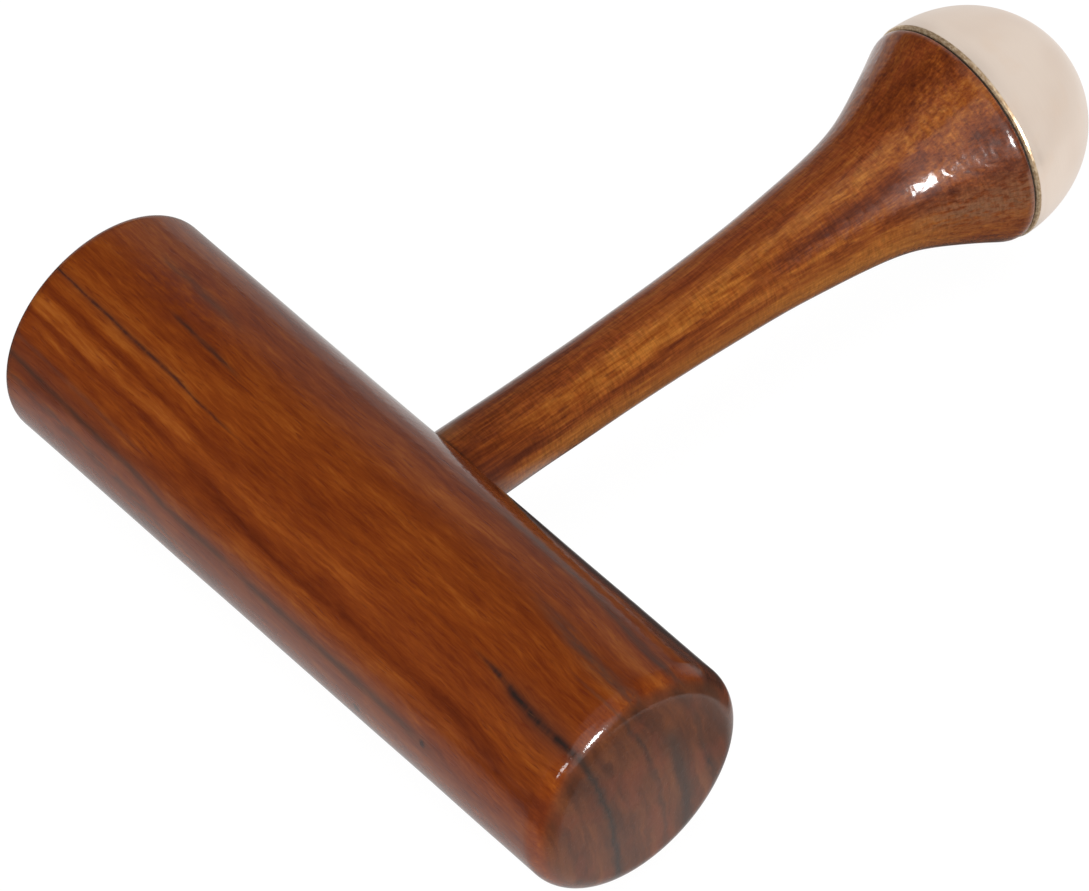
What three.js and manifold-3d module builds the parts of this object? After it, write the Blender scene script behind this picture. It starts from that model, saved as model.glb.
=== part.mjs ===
// Wooden mallet: a turned crossbar head on a slender flared handle, the flare closed by a cast bronze dome.
// Millimetres. The mallet lies on its side: +X along the head, +Y along the handle to the dome, +Z up.
// The origin is the middle of the underside of the bounding box.
// Parts are drawn with the head axis on X and the handle axis on Y. Profile points are [radius, place on axis].
import * as THREE from 'three';
import { mergeVertices } from 'three/addons/utils/BufferGeometryUtils.js';
import Module from 'manifold-3d';

const GAP = 0.3;                 // clearance kept between neighbouring solids

// head: a cylinder with rounded ends; the handle joins it a little off the middle
const HEAD_R = 22.5;
const HEAD_LONG = 74.1;          // handle axis to the +X striking face
const HEAD_SHORT = 69.3;         // handle axis to the -X striking face
const EDGE_LONG = 4.5;           // edge rounding at the +X end
const EDGE_SHORT = 2.6;          // edge rounding at the -X end

// blind tenon and mortise, both spread towards the bottom and locked by a wedge
const SPREAD_FROM = 5;           // above this both are straight
const TENON_R = 6;
const TENON_SPREAD_R = 6.6;
const TENON_END = -8;
const TENON_CHAMFER = 0.6;
const TENON_TOP = HEAD_R + 3;    // inside the handle body
const MORTISE_R = TENON_R + GAP;
const MORTISE_SPREAD_R = TENON_SPREAD_R + GAP;
const MORTISE_END = -9.2;
const MORTISE_TOP = HEAD_R + 2;  // clear of the head, for a clean cut
const JOINT_SEGMENTS = 40;

// kerf: the tapered slot in the tenon, widest at its open lower end
const KERF_ROOT = 9;
const KERF_ROOT_WIDTH = 1.5;
const KERF_END = TENON_END - 1;
const KERF_END_WIDTH = 3.7;
const KERF_DEPTH = 20;           // along Z, right through the tenon
const WEDGE_DEPTH = 10.4;        // along Z
const WEDGE_LOW = MORTISE_END + GAP + 0.1;
const WEDGE_HIGH = KERF_ROOT - 1.2;

// handle: [radius, distance from the head axis]; the first point is cut away by the saddle
const HANDLE_PROFILE = [
  [7.9, 15], [7.85, 28], [7.76, 36], [7.79, 46], [7.88, 56], [8.02, 64], [8.25, 72], [8.53, 79],
  [8.91, 86], [9.32, 92], [9.88, 98], [10.54, 104], [11.2, 109], [11.84, 113], [12.6, 116.5],
  [13.5, 119.5], [14.46, 122], [15.57, 124.5], [16.76, 127], [17.88, 129.3], [18.92, 131.4],
  [19.8, 133.2], [20.46, 134.6], [20.88, 135.6], [21.1, 136.3],
];
const SEAM_Y = 136.8;            // plane where the wood meets the dome
const RIM_R = 21.2;              // wood rim at the seam
const RIM_BEVEL = 0.2;
const RIM_TAPER = 0.04;          // how much narrower the rim is below its bevel
const SADDLE_HALF_LENGTH = 30;
const SADDLE_SEGMENTS = 160;
const FLARE_SEGMENTS = 56;       // shared by the handle, dome and ring

// spigot that carries the dome, with a rebate round it for the bedding ring
const SPIGOT_R = 17.2;
const SPIGOT_END = 146.2;
const SPIGOT_CHAMFER = 1;
const REBATE_R = 20.4;
const REBATE_FLOOR = SEAM_Y - 1.1;
const RING_TOP = SEAM_Y + 0.05;

// dome: a shell a little taller than a hemisphere, with a bored boss inside
const DOME_BASE = SEAM_Y + 0.38;
const DOME_R = 21.65;
const LIP_IN_R = 21.15;
const LIP_BEVEL = 0.3;
const LIP_TOP = DOME_BASE + 0.95;
const DOME_H = 23.3;             // above the lip
const DOME_TOP = LIP_TOP + DOME_H;
const DOME_POWER = 2.05;         // superellipse exponent; 2 is an ellipse
const DOME_STEPS = 16;
const CAVITY_R = SPIGOT_R + 0.4;
const CAVITY_STRAIGHT = 146.7;   // the wall is straight up to here
const CAVITY_TOP = 158.5;        // where the cavity's arch would close on the axis
const CAVITY_STEPS = 5;
const BOSS_R = 8.5;
const BOSS_FACE = 146.5;
const BOSS_BORE_END = 157.4;

// hanger bolt M8 x 50, and the bores that take it
const BOLT_R = 4;
const BOLT_ROOT_R = 3.25;
const BOLT_SHANK_R = 3.7;
const BOLT_LOW = 106.8;
const BOLT_HIGH = BOLT_LOW + 50;
const WOOD_THREAD_LOW = BOLT_LOW + 4;
const WOOD_THREAD_TOP = 136;
const WOOD_PITCH = 3.1;
const POINT_TAPER = 9;           // the thread reaches full size this far above the tip
const POINT_THINNING = 0.6;      // root radius lost at the tip
const MACHINE_THREAD_LOW = 147;
const MACHINE_PITCH = 1.25;
const BOLT_SEGMENTS = 16;
const BORE_R = BOLT_R + GAP;
const PILOT_END = 105.2;

const MATERIALS = {
  headWood: { color: 0x7a3a16, roughness: 0.22, metalness: 0 },
  handleWood: { color: 0x8a4a1c, roughness: 0.2, metalness: 0 },
  paleWood: { color: 0xc8a26a, roughness: 0.7, metalness: 0 },
  bronze: { color: 0xe0cdbb, roughness: 0.12, metalness: 1 },
  bedding: { color: 0x17120f, roughness: 0.6, metalness: 0 },
  steel: { color: 0x9a9c9f, roughness: 0.35, metalness: 1 },
};

const wasm = await Module();
wasm.setup();

// Welds a geometry and drops its collapsed triangles, so that it closes as a Manifold.
function solid(geometry) {
  geometry.deleteAttribute('normal');
  geometry.deleteAttribute('uv');
  const welded = mergeVertices(geometry, 1e-5);
  const index = welded.index.array;
  const triangles = [];
  for (let i = 0; i < index.length; i += 3) {
    const [a, b, c] = index.slice(i, i + 3);
    if (a !== b && b !== c && c !== a) triangles.push(a, b, c);
  }
  return new wasm.Manifold(new wasm.Mesh({
    numProp: 3,
    vertProperties: new Float32Array(welded.attributes.position.array),
    triVerts: new Uint32Array(triangles),
  }));
}

function geometryOf(manifold) {
  const { vertProperties, triVerts } = manifold.getMesh();
  const geometry = new THREE.BufferGeometry();
  geometry.setAttribute('position', new THREE.BufferAttribute(new Float32Array(vertProperties), 3));
  geometry.setIndex(new THREE.BufferAttribute(new Uint32Array(triVerts), 1));
  geometry.computeVertexNormals();
  return geometry;
}

const vectors = (points) => points.map(([x, y]) => new THREE.Vector2(x, y));

// Profiles run with the outside on their right.
const lathe = (profile, segments) => new THREE.LatheGeometry(vectors(profile), segments);
const turned = (profile, segments) => solid(lathe(profile, segments));
const turnedAlongX = (profile, segments) => solid(lathe(profile, segments).rotateZ(-Math.PI / 2));

// A slab centred on X and Z; its width along X changes evenly from low to high.
function taperedSlab(low, lowHalfWidth, high, highHalfWidth, depth) {
  const outline = [[-lowHalfWidth, low], [lowHalfWidth, low], [highHalfWidth, high], [-highHalfWidth, high]];
  const geometry = new THREE.ExtrudeGeometry(new THREE.Shape(vectors(outline)),
    { depth, bevelEnabled: false, steps: 1 });
  return solid(geometry.translate(0, 0, -depth / 2));
}

// Quarter circle, anticlockwise from the start angle.
function quarterRound(centreR, centreY, radius, start, steps) {
  return Array.from({ length: steps + 1 }, (_, i) => {
    const angle = start + Math.PI / 2 * i / steps;
    return [centreR + radius * Math.cos(angle), centreY + radius * Math.sin(angle)];
  });
}

function malletHead() {
  const body = turnedAlongX([
    [0, -HEAD_SHORT],
    ...quarterRound(HEAD_R - EDGE_SHORT, -HEAD_SHORT + EDGE_SHORT, EDGE_SHORT, -Math.PI / 2, 7),
    ...quarterRound(HEAD_R - EDGE_LONG, HEAD_LONG - EDGE_LONG, EDGE_LONG, 0, 8),
    [0, HEAD_LONG],
  ], 80);
  const mortise = turned([
    [0, MORTISE_END], [MORTISE_SPREAD_R, MORTISE_END], [MORTISE_R, SPREAD_FROM],
    [MORTISE_R, MORTISE_TOP], [0, MORTISE_TOP],
  ], JOINT_SEGMENTS);
  return body.subtract(mortise);
}

function handle() {
  const body = turned([
    ...[[0, HANDLE_PROFILE[0][1]], ...HANDLE_PROFILE],
    [RIM_R - RIM_TAPER, SEAM_Y - RIM_BEVEL], [RIM_R - RIM_BEVEL, SEAM_Y],
    [REBATE_R, SEAM_Y], [REBATE_R, REBATE_FLOOR], [SPIGOT_R, REBATE_FLOOR],
    [SPIGOT_R, SPIGOT_END - SPIGOT_CHAMFER], [SPIGOT_R - SPIGOT_CHAMFER, SPIGOT_END], [0, SPIGOT_END],
  ], FLARE_SEGMENTS);
  // the hollow that fits over the head
  const saddleR = HEAD_R + GAP;
  const saddle = turnedAlongX([
    [0, -SADDLE_HALF_LENGTH], [saddleR, -SADDLE_HALF_LENGTH],
    [saddleR, SADDLE_HALF_LENGTH], [0, SADDLE_HALF_LENGTH],
  ], SADDLE_SEGMENTS);
  const tenon = turned([
    [0, TENON_END], [TENON_SPREAD_R - TENON_CHAMFER, TENON_END],
    [TENON_SPREAD_R, TENON_END + TENON_CHAMFER], [TENON_R, SPREAD_FROM],
    [TENON_R, TENON_TOP], [0, TENON_TOP],
  ], JOINT_SEGMENTS);
  const kerf = taperedSlab(KERF_END, KERF_END_WIDTH / 2, KERF_ROOT, KERF_ROOT_WIDTH / 2, KERF_DEPTH);
  const pilotTop = SPIGOT_END + 2;
  const pilot = turned([
    [0, PILOT_END], [BORE_R - 1.5, PILOT_END + 1.2], [BORE_R, PILOT_END + 5],
    [BORE_R, pilotTop], [0, pilotTop],
  ], 28);
  return body.subtract(saddle).add(tenon).subtract(kerf).subtract(pilot);
}

// Fills the kerf, with the clearance on each side.
function wedge() {
  const halfWidthAt = (y) => {
    const fraction = (KERF_ROOT - y) / (KERF_ROOT - KERF_END);
    return (KERF_ROOT_WIDTH + (KERF_END_WIDTH - KERF_ROOT_WIDTH) * fraction) / 2 - GAP;
  };
  return taperedSlab(WEDGE_LOW, halfWidthAt(WEDGE_LOW), WEDGE_HIGH, halfWidthAt(WEDGE_HIGH), WEDGE_DEPTH);
}

function dome() {
  const outside = [];
  for (let i = 0; i < DOME_STEPS; i++) {
    const angle = Math.PI / 2 * i / DOME_STEPS;
    const power = 2 / DOME_POWER;
    outside.push([DOME_R * Math.cos(angle) ** power, LIP_TOP + DOME_H * Math.sin(angle) ** power]);
  }
  // elliptical arch from the boss out to the straight wall
  const cavity = [];
  for (let i = 0; i < CAVITY_STEPS; i++) {
    const r = BOSS_R + (CAVITY_R - BOSS_R) * Math.sin(Math.PI / 2 * i / CAVITY_STEPS);
    const rise = Math.sqrt(1 - (r / CAVITY_R) ** 2);
    cavity.push([r, CAVITY_STRAIGHT + (CAVITY_TOP - CAVITY_STRAIGHT) * rise]);
  }
  return turned([
    [0, BOSS_BORE_END], [BORE_R, BOSS_BORE_END], [BORE_R, BOSS_FACE], [BOSS_R, BOSS_FACE],
    ...cavity, [CAVITY_R, CAVITY_STRAIGHT], [CAVITY_R, DOME_BASE],
    [LIP_IN_R, DOME_BASE], [LIP_IN_R + LIP_BEVEL, DOME_BASE + LIP_BEVEL],
    ...outside, [0, DOME_TOP],
  ], FLARE_SEGMENTS);
}

function beddingRing() {
  const inner = SPIGOT_R + GAP;
  const outer = REBATE_R - GAP;
  const low = REBATE_FLOOR + GAP;
  return turned([[inner, low], [outer, low], [outer, RING_TOP], [inner, RING_TOP], [inner, low]],
    FLARE_SEGMENTS);
}

// Wood thread below, plain shank, machine thread above; the threads are separate rings, not helices.
function hangerBolt() {
  const tipRootR = BOLT_ROOT_R - POINT_THINNING;
  const profile = [[0, BOLT_LOW], [0.8, BOLT_LOW + 0.2], [tipRootR, BOLT_LOW + 3.6]];
  for (let y = WOOD_THREAD_LOW; y + WOOD_PITCH < WOOD_THREAD_TOP; y += WOOD_PITCH) {
    const growth = Math.min(1, (y - BOLT_LOW) / POINT_TAPER);
    const root = tipRootR + POINT_THINNING * growth;
    const crest = BOLT_ROOT_R + (BOLT_R - BOLT_ROOT_R) * growth;
    profile.push([root, y], [crest, y + 1.2], [crest, y + 1.5], [root, y + 2.1]);
  }
  profile.push([BOLT_ROOT_R, WOOD_THREAD_TOP - 0.6], [BOLT_SHANK_R, WOOD_THREAD_TOP],
    [BOLT_SHANK_R, MACHINE_THREAD_LOW - 0.5]);
  for (let y = MACHINE_THREAD_LOW; y + MACHINE_PITCH < BOLT_HIGH; y += MACHINE_PITCH) {
    profile.push([BOLT_ROOT_R, y], [BOLT_R - 0.03, y + MACHINE_PITCH / 2]);
  }
  profile.push([BOLT_ROOT_R, BOLT_HIGH - 0.5], [BOLT_ROOT_R - 0.5, BOLT_HIGH], [0, BOLT_HIGH]);
  return turned(profile, BOLT_SEGMENTS);
}

// the assembly, moved so that the origin is under the middle of its box
const mallet = new THREE.Group();
mallet.position.set(-(HEAD_LONG - HEAD_SHORT) / 2, -(DOME_TOP - HEAD_R) / 2, HEAD_R);

for (const [name, part, material] of [
  ['mallet_head', malletHead(), MATERIALS.headWood],
  ['handle', handle(), MATERIALS.handleWood],
  ['fox_wedge', wedge(), MATERIALS.paleWood],
  ['dome_cap', dome(), MATERIALS.bronze],
  ['bedding_ring', beddingRing(), MATERIALS.bedding],
  ['dome_stud', hangerBolt(), MATERIALS.steel],
]) {
  const mesh = new THREE.Mesh(geometryOf(part), new THREE.MeshStandardMaterial(material));
  mesh.name = name;
  mallet.add(mesh);
}

export default mallet;
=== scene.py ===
"""Wooden mallet lying on a pale floor.

The turned head lies along X and the flared handle along Y, with Z up. The handle's tenon is
spread in its mortise by a fox wedge. At the +Y end a bronze dome sits on a hanger bolt, with a
black bedding ring in the seam. Lengths are millimetres from the point where the axes of the
head and the handle cross, except for bump distances, stage, lights and camera, in metres.
"""
import math

import bmesh
import bpy
import numpy as np
from mathutils import Matrix, Vector


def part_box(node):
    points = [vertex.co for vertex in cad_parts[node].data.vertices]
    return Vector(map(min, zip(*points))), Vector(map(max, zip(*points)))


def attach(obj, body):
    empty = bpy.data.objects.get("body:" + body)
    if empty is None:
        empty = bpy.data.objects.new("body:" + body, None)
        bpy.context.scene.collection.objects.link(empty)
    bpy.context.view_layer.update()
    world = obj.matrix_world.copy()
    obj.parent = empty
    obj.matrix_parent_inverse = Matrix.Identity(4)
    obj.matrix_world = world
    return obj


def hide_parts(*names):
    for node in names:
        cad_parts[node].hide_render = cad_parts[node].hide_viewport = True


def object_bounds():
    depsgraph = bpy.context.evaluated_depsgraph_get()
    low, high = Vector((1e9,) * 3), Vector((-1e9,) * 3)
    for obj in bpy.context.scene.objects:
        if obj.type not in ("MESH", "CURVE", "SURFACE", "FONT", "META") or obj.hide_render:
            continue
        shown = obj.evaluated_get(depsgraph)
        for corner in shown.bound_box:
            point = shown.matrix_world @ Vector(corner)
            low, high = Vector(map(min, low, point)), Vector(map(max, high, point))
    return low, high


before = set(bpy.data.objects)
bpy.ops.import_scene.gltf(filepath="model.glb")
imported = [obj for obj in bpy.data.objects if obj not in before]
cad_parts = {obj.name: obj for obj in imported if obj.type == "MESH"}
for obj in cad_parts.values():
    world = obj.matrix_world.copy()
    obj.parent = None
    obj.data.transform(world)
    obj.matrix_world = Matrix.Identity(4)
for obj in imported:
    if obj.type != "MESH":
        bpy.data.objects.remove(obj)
cad_low, cad_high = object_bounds()
head_low, head_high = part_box("mallet_head")
dome_low, dome_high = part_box("dome_cap")
ring_low, ring_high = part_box("bedding_ring")
bolt_low, bolt_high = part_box("dome_stud")

# ---------------------------------------------------------------- sizes taken from the CAD

ORIGIN = np.array([(dome_low.x + dome_high.x) / 2, (head_low.y + head_high.y) / 2,
                   (head_low.z + head_high.z) / 2]) * 1000
HEAD_R = (head_high.z - head_low.z) * 500
HEAD_LONG = head_high.x * 1000 - ORIGIN[0]      # reach towards +X
HEAD_SHORT = ORIGIN[0] - head_low.x * 1000      # reach towards -X
DOME_BASE = dome_low.y * 1000 - ORIGIN[1]
DOME_TIP = dome_high.y * 1000 - ORIGIN[1]
DOME_R = (dome_high.x - dome_low.x) * 500
SEAM_Y = ring_high.y * 1000 - ORIGIN[1] - 0.05
BOLT_START = bolt_low.y * 1000 - ORIGIN[1]
BOLT_END = bolt_high.y * 1000 - ORIGIN[1]

# ---------------------------------------------------------------- chosen sizes

EDGE_LONG, EDGE_SHORT = 4.5, 2.6                # rounding of the head's +X and -X edges

MORTISE_END, MORTISE_R = -9.2, 6.3
TENON_END, TENON_R = -8.0, 6.0
TENON_CORNER = 0.6
SPREAD_FROM, SPREAD = 5.0, 0.6                  # where the tenon starts to open, and how far
KERF_ROOT, KERF_ROOT_W, KERF_END_W = 9.0, 1.5, 3.7
KERF_END = TENON_END - 1

SEAT_R = HEAD_R + 0.02                          # the round the handle's shoulder sits on
SEAT_FADE_Y = 32                                # the shoulder's curve dies out here
BELOW_SEAT_Y = 20
RIM_R = 21.2
REBATE_R, REBATE_FLOOR = 20.4, SEAM_Y - 1.1
SPIGOT_R, SPIGOT_END = 17.2, 146.2
PILOT_R, PILOT_END = 4.3, 105.2

MACHINE_PITCH, WOOD_PITCH = 1.25, 3.1
MACHINE_FROM, WOOD_TO = 146.9, 136.0

DOME_POWER = 2.05                               # exponent of the dome's superellipse
LIP_H = 0.70
DOME_SPRING = DOME_BASE + LIP_H                 # where the lip ends and the dome starts
DOME_RISE = DOME_TIP - DOME_SPRING
CAVITY_R, CAVITY_STRAIGHT, CAVITY_ROOF = 17.6, 146.7, 158.5
BOSS_R, BOSS_FACE = 8.5, 146.5
TAP_R, TAP_END = 4.1, 157.4

# Handle outline: (distance along Y, radius)
HANDLE_OUTLINE = [
    (20, 7.88), (28, 7.83), (36, 7.76), (46, 7.79), (56, 7.88), (64, 8.02), (72, 8.25),
    (79, 8.53), (86, 8.91), (92, 9.32), (98, 9.88), (104, 10.54), (109, 11.2), (113, 11.84),
    (116.5, 12.6), (119.5, 13.5), (122, 14.46), (124.5, 15.57), (127, 16.76), (129.3, 17.88),
    (131.4, 18.94), (133.2, 19.88), (134.4, 20.53), (135.2, 20.94), (135.8, 21.18),
    (136.3, 21.27)]


# ---------------------------------------------------------------- mesh helpers

def link_object(name, data):
    obj = bpy.data.objects.new(name, data)
    bpy.context.scene.collection.objects.link(obj)
    return obj


def finish_normals(obj, sharp=32.0):
    """Outward normals, smooth shading, and sharp edges above an angle in degrees."""
    work = bmesh.new()
    work.from_mesh(obj.data)
    bmesh.ops.remove_doubles(work, verts=work.verts, dist=1e-8)
    bmesh.ops.recalc_face_normals(work, faces=work.faces)
    work.to_mesh(obj.data)
    work.free()
    obj.data.shade_smooth()
    obj.data.set_sharp_from_angle(angle=math.radians(sharp))


def to_object(name, points, faces, sharp=32.0):
    mesh = bpy.data.meshes.new(name)
    mesh.from_pydata(((np.asarray(points, float) + ORIGIN) / 1000).tolist(), [], faces)
    mesh.validate()
    mesh.update()
    obj = link_object(name, mesh)
    finish_normals(obj, sharp)
    return obj


def apply_modifiers(obj):
    depsgraph = bpy.context.evaluated_depsgraph_get()
    obj.data = bpy.data.meshes.new_from_object(obj.evaluated_get(depsgraph))
    obj.modifiers.clear()


def carve(obj, cutter):
    cut = obj.modifiers.new("cut", "BOOLEAN")
    cut.operation, cut.solver, cut.object = "DIFFERENCE", "EXACT", cutter
    apply_modifiers(obj)
    bpy.data.objects.remove(cutter)
    finish_normals(obj)


def revolve(profile, segments, axis="y"):
    """Points and faces of a closed body turned from (along, radius) stations.

    A radius of 0 makes a pole. A profile without poles is joined end to start.
    """
    angles = 2 * math.pi * np.arange(segments) / segments
    points, rings, faces = [], [], []
    for along, radius in profile:
        if radius < 1e-9:
            ring = np.array([[0.0, along, 0.0]])
        else:
            ring = np.stack([radius * np.cos(angles), np.full(segments, float(along)),
                             radius * np.sin(angles)], 1)
        rings.append((len(points), len(ring)))
        points.extend(ring.tolist())
    pairs = list(zip(rings[:-1], rings[1:]))
    if rings[0][1] > 1 and rings[-1][1] > 1:
        pairs.append((rings[-1], rings[0]))
    for (this, this_size), (other, other_size) in pairs:
        for k in range(segments):
            l = (k + 1) % segments
            if this_size == 1:
                faces.append((this, other + l, other + k))
            elif other_size == 1:
                faces.append((this + k, this + l, other))
            else:
                faces.append((this + k, this + l, other + l, other + k))
    points = np.array(points)
    if axis == "x":
        points = points[:, [1, 2, 0]]
    return points, faces


def dense(profile, step):
    """Splits the long segments of a profile."""
    out = [profile[0]]
    for (along0, radius0), (along1, radius1) in zip(profile[:-1], profile[1:]):
        count = max(1, int(math.ceil(math.hypot(along1 - along0, radius1 - radius0) / step)))
        for i in range(1, count + 1):
            out.append((along0 + (along1 - along0) * i / count,
                        radius0 + (radius1 - radius0) * i / count))
    return out


def filleted(corners, steps=6):
    """Rounds the inner corners of an open profile of (along, radius, fillet radius)."""
    out = [corners[0][:2]]
    for i in range(1, len(corners) - 1):
        fillet = corners[i][2]
        corner, before, after = (np.array(corners[k][:2], float) for k in (i, i - 1, i + 1))
        back, ahead = before - corner, after - corner
        back_length, ahead_length = np.linalg.norm(back), np.linalg.norm(ahead)
        back, ahead = back / back_length, ahead / ahead_length
        half = math.acos(float(np.clip(back @ ahead, -1, 1))) / 2
        if fillet <= 0 or half > math.radians(88):
            out.append(tuple(corner))
            continue
        tangent = min(fillet / math.tan(half), back_length * 0.48, ahead_length * 0.48)
        radius = tangent * math.tan(half)
        middle = (back + ahead) / np.linalg.norm(back + ahead)
        centre = corner + middle * (radius / math.sin(half))
        start, end = corner + back * tangent - centre, corner + ahead * tangent - centre
        turn = math.atan2(start[0] * end[1] - start[1] * end[0], float(start @ end))
        for k in range(steps + 1):
            cosine, sine = math.cos(turn * k / steps), math.sin(turn * k / steps)
            out.append((centre[0] + start[0] * cosine - start[1] * sine,
                        centre[1] + start[0] * sine + start[1] * cosine))
    out.append(corners[-1][:2])
    return out


def arc(along, radius, size, start, end, steps):
    """Arc about (along, radius); 0 degrees points outward and 90 up the axis."""
    out = []
    for i in range(steps + 1):
        angle = math.radians(start + (end - start) * i / steps)
        out.append((along + size * math.sin(angle), radius + size * math.cos(angle)))
    return out


def spline(knots):
    """Natural cubic spline through (x, y) knots."""
    x, y = np.array(knots, float).T
    count = len(x)
    gap = np.diff(x)
    matrix, slopes = np.eye(count), np.zeros(count)
    for i in range(1, count - 1):
        matrix[i, i - 1:i + 2] = gap[i - 1], 2 * (gap[i - 1] + gap[i]), gap[i]
        slopes[i] = 6 * ((y[i + 1] - y[i]) / gap[i] - (y[i] - y[i - 1]) / gap[i - 1])
    bend = np.linalg.solve(matrix, slopes)

    def value_at(place):
        i = np.clip(np.searchsorted(x, place) - 1, 0, count - 2)
        left, right = (x[i + 1] - place) / gap[i], (place - x[i]) / gap[i]
        curved = (left ** 3 - left) * bend[i] + (right ** 3 - right) * bend[i + 1]
        return left * y[i] + right * y[i + 1] + curved * gap[i] ** 2 / 6

    return value_at


def polar(points, first=0):
    """Radius and angle in the plane of coordinate `first` and Z."""
    return (np.hypot(points[:, first], points[:, 2]), np.arctan2(points[:, 2], points[:, first]))


def scale_radius(points, factor, first=0):
    points[:, first] *= factor
    points[:, 2] *= factor


def spread(points):
    """Opens the -Y end of the tenon, or of its mortise, along X."""
    opening = (SPREAD_FROM - points[:, 1]) / (SPREAD_FROM - TENON_END)
    points = points.copy()
    points[:, 0] += points[:, 0] / TENON_R * SPREAD * np.clip(opening, 0, None)
    return points


# ---------------------------------------------------------------- head

def build_head():
    low_edge = arc(-HEAD_SHORT + EDGE_SHORT, HEAD_R - EDGE_SHORT, EDGE_SHORT, -90, 0, 12)
    high_edge = arc(HEAD_LONG - EDGE_LONG, HEAD_R - EDGE_LONG, EDGE_LONG, 0, 90, 16)
    low_face = [(-HEAD_SHORT, r) for r in np.linspace(0, HEAD_R - EDGE_SHORT, 14)[:-1]]
    high_face = [(HEAD_LONG, r) for r in np.linspace(HEAD_R - EDGE_LONG, 0, 13)[1:]]
    side = dense([low_edge[-1], high_edge[0]], 1.15)[1:-1]
    points, faces = revolve(low_face + low_edge + side + high_edge + high_face, 256, "x")

    # the small unevenness that sanding by hand leaves on a turned bar
    x = points[:, 0]
    radius, angle = polar(points, first=1)
    wave = (0.016 * np.sin(x / 7.3 + 1.1 * np.sin(angle + 0.4))
            + 0.012 * np.sin(x / 3.9 + 2.0 * angle)
            + 0.010 * np.sin(x / 15.0 - 3.0 * angle + 0.7)
            + 0.008 * np.sin(5.0 * angle + x / 21.0) - 0.03)
    near_side = np.clip((radius - HEAD_R + 4.0) / 2.0, 0, 1)
    scale_radius(points, 1 + wave * near_side / np.maximum(radius, 1.0), first=1)
    head = to_object("mallet_head_wood", points, faces)

    above = HEAD_R + 3
    mortise = filleted([(MORTISE_END, 0, 0), (MORTISE_END, MORTISE_R, TENON_CORNER),
                        (above, MORTISE_R, 0), (above, 0, 0)])
    points, faces = revolve(dense(mortise, 2.0), 96)
    carve(head, to_object("mortise_cutter", spread(points), faces))
    return head


# ---------------------------------------------------------------- handle and wedge

def kerf_half_width(y):
    return (KERF_ROOT_W + (KERF_END_W - KERF_ROOT_W) * (KERF_ROOT - y)
            / (KERF_ROOT - KERF_END)) / 2


def handle_profile():
    """Tenon, shoulder, flared side, rim with its rebate, spigot and pilot hole."""
    tenon = dense(filleted([(TENON_END, 0, 0), (TENON_END, TENON_R, TENON_CORNER),
                            (HEAD_R, TENON_R, 0)])[:-1], 1.3)
    tenon += [(y, TENON_R) for y in np.arange(tenon[-1][0] + 1.3, 19.9, 1.3)]
    tenon += [(20.0, TENON_R), (21.2, TENON_R)]
    shoulder = [(HEAD_R, r) for r in (TENON_R, 6.4, 6.8, 7.2, 7.55, 7.68)]

    radius_at = spline(HANDLE_OUTLINE)
    stations = np.concatenate([
        [HEAD_R + 0.14, HEAD_R + 0.3, HEAD_R + 0.7, HEAD_R + 1.3],
        np.arange(HEAD_R + 2.0, 110, 1.0), np.arange(110, 135.8, 0.55), [135.8, 136.1, 136.35]])
    wall = [(HEAD_R + 0.05, 7.80)] + [(y, float(radius_at(y))) for y in stations]

    rim = filleted([
        (*wall[-1], 0),
        (SEAM_Y - 0.12, RIM_R + 0.10, 0.25), (SEAM_Y, RIM_R - 0.25, 0.15),
        (SEAM_Y, REBATE_R, 0.08), (REBATE_FLOOR, REBATE_R, 0.1),
        (REBATE_FLOOR, SPIGOT_R, 0.1), (SPIGOT_END - 1, SPIGOT_R, 0.3),
        (SPIGOT_END, SPIGOT_R - 1, 0.3), (SPIGOT_END, PILOT_R + 0.5, 0.15),
        (SPIGOT_END - 0.5, PILOT_R, 0.15), (PILOT_END + 5, PILOT_R, 0.5),
        (PILOT_END + 1.2, PILOT_R - 1.5, 0.4), (PILOT_END, 0, 0)], steps=3)
    return tenon + shoulder + wall + dense(rim, 1.6)[1:]


def scribe_to_head(points):
    """Shapes the handle's -Y end to the head's round side."""
    radius, _ = polar(points)
    y = points[:, 1].copy()
    seat = np.sqrt(SEAT_R ** 2 - np.clip(points[:, 2], -8, 8) ** 2)
    outside = (y >= HEAD_R) & (y < SEAT_FADE_Y) & (radius > 5.9)
    inside = (y > BELOW_SEAT_Y) & (y < HEAD_R)
    lifted = seat + (y - HEAD_R) * (SEAT_FADE_Y - seat) / (SEAT_FADE_Y - HEAD_R)
    shifted = y + (seat - HEAD_R) * (y - BELOW_SEAT_Y) / (HEAD_R - BELOW_SEAT_Y)
    points[outside, 1] = lifted[outside]
    points[inside, 1] = shifted[inside]


def kerf_cutter():
    """Tapered slot across the tenon, open at its -Y end and chamfered at the root."""
    end, root, chamfer = kerf_half_width(KERF_END), kerf_half_width(KERF_ROOT), 0.35
    outline = ((-end, KERF_END), (end, KERF_END), (root, KERF_ROOT - chamfer),
               (root - chamfer, KERF_ROOT), (-root + chamfer, KERF_ROOT),
               (-root, KERF_ROOT - chamfer))
    points = [(x, y, z) for z in (-9, 9) for x, y in outline]
    count = len(outline)
    faces = [tuple(range(count - 1, -1, -1)), tuple(range(count, 2 * count))]
    faces += [(i, (i + 1) % count, count + (i + 1) % count, count + i) for i in range(count)]
    return to_object("kerf_cutter", points, faces)


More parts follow.
